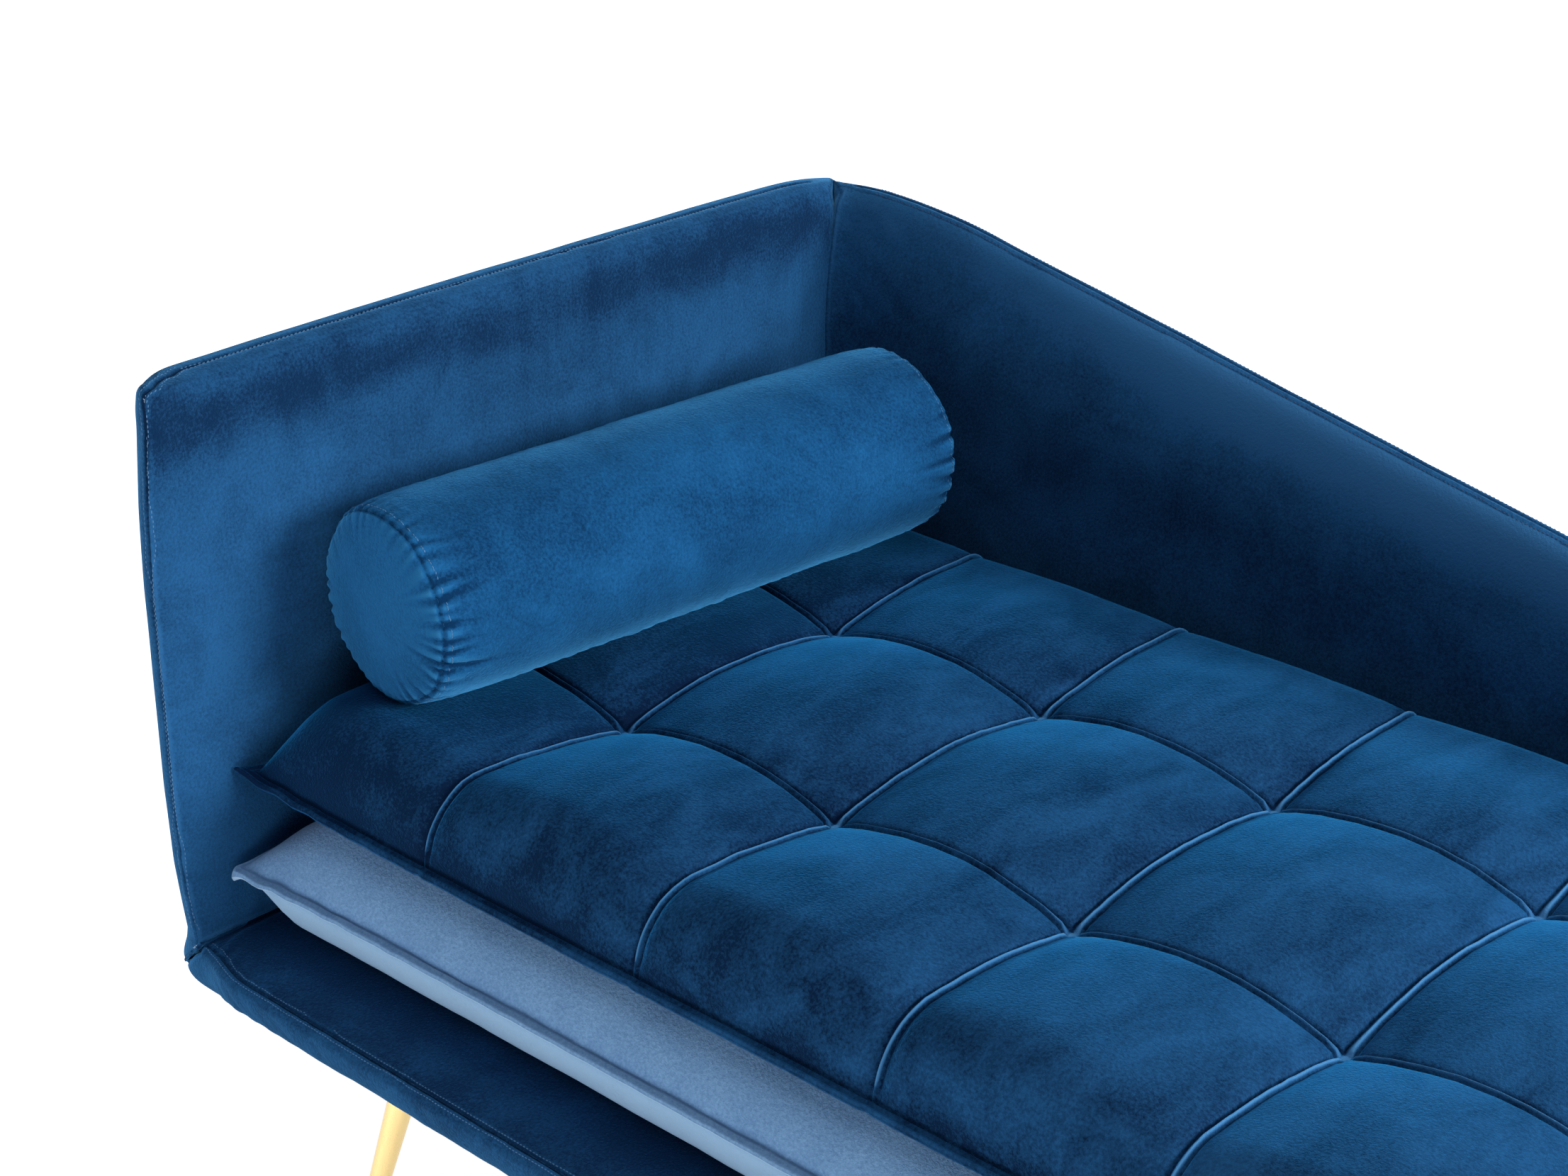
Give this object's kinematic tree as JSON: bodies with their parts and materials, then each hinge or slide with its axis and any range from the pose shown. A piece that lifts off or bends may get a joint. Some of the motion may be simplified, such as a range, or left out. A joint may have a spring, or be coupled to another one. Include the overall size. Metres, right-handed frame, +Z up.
{
  "type": "fainting couch",
  "caption": "Upholstered fainting couch with a head panel, a back panel sloping to the foot, a plain and a tufted mattress, a loose bolster and slim splayed legs.",
  "frame": {"origin": "on the floor under the middle of the couch's box", "axes": "+X runs along the seat from the head panel to the foot, +Y points to the back panel, +Z is up"},
  "size_m": [1.718, 0.739, 0.671],
  "materials": {
    "navy_velvet": "short-pile velvet, deep navy blue with a pale sheen",
    "light_blue_velvet": "short-pile velvet, light blue",
    "bright_blue_velvet": "short-pile velvet, bright royal blue",
    "satin_gold": "satin brushed gold",
    "zinc_steel": "bright zinc plating",
    "pine": "planed pine, unfinished",
    "plywood": "sanded birch plywood, unfinished",
    "foam": "cut polyurethane foam",
    "black_cloth": "black non-woven dust cover cloth",
    "black_plastic": "moulded black nylon"
  },
  "bodies": {
    "frame": {"frame_front_rail": "pine", "frame_back_rail": "pine", "frame_head_rail": "pine", "frame_foot_rail": "pine", "frame_cross_rail_head": "pine", "frame_cross_rail_middle": "pine", "frame_cross_rail_foot": "pine", "deck_board": "plywood", "head_board": "plywood", "back_board": "plywood", "head_bolt_1": "zinc_steel", "head_bolt_2": "zinc_steel", "head_tee_nut_1": "zinc_steel", "head_tee_nut_2": "zinc_steel", "back_bolt_1": "zinc_steel", "back_bolt_2": "zinc_steel", "back_bolt_3": "zinc_steel", "back_tee_nut_1": "zinc_steel", "back_tee_nut_2": "zinc_steel", "back_tee_nut_3": "zinc_steel", "corner_screw_1": "zinc_steel", "corner_screw_2": "zinc_steel", "corner_screw_3": "zinc_steel", "platform_top_cover": "navy_velvet", "platform_front_band": "navy_velvet", "platform_foot_band": "navy_velvet", "dust_cover": "black_cloth", "head_panel_cover": "navy_velvet", "back_panel_cover": "navy_velvet", "leg_front_head": "satin_gold", "leg_front_middle": "satin_gold", "leg_front_foot": "satin_gold", "leg_back_head": "satin_gold", "leg_back_middle": "satin_gold", "leg_back_foot": "satin_gold", "leg_plate_front_head": "zinc_steel", "leg_plate_front_middle": "zinc_steel", "leg_plate_front_foot": "zinc_steel", "leg_plate_back_head": "zinc_steel", "leg_plate_back_middle": "zinc_steel", "leg_plate_back_foot": "zinc_steel", "glide_front_head": "black_plastic", "glide_front_middle": "black_plastic", "glide_front_foot": "black_plastic", "glide_back_head": "black_plastic", "glide_back_middle": "black_plastic", "glide_back_foot": "black_plastic"},
    "lower_mattress": {"lower_mattress_cover": "light_blue_velvet", "lower_mattress_foam": "foam", "lower_mattress_zip": "light_blue_velvet"},
    "upper_mattress": {"upper_mattress": "navy_velvet"},
    "bolster": {"bolster_cover": "bright_blue_velvet", "bolster_filling": "foam", "bolster_zip": "bright_blue_velvet"}
  },
  "joints": [
    {"name": "lower_mattress_lift", "type": "slide", "parent": "frame", "child": "lower_mattress", "axis": [0, 0, 1], "range_m": [0, 0.25]},
    {"name": "upper_mattress_lift", "type": "slide", "parent": "lower_mattress", "child": "upper_mattress", "axis": [0, 0, 1], "range_m": [0, 0.2]},
    {"name": "bolster_lift", "type": "slide", "parent": "upper_mattress", "child": "bolster", "axis": [0, 0, 1], "range_m": [0, 0.2]}
  ]
}
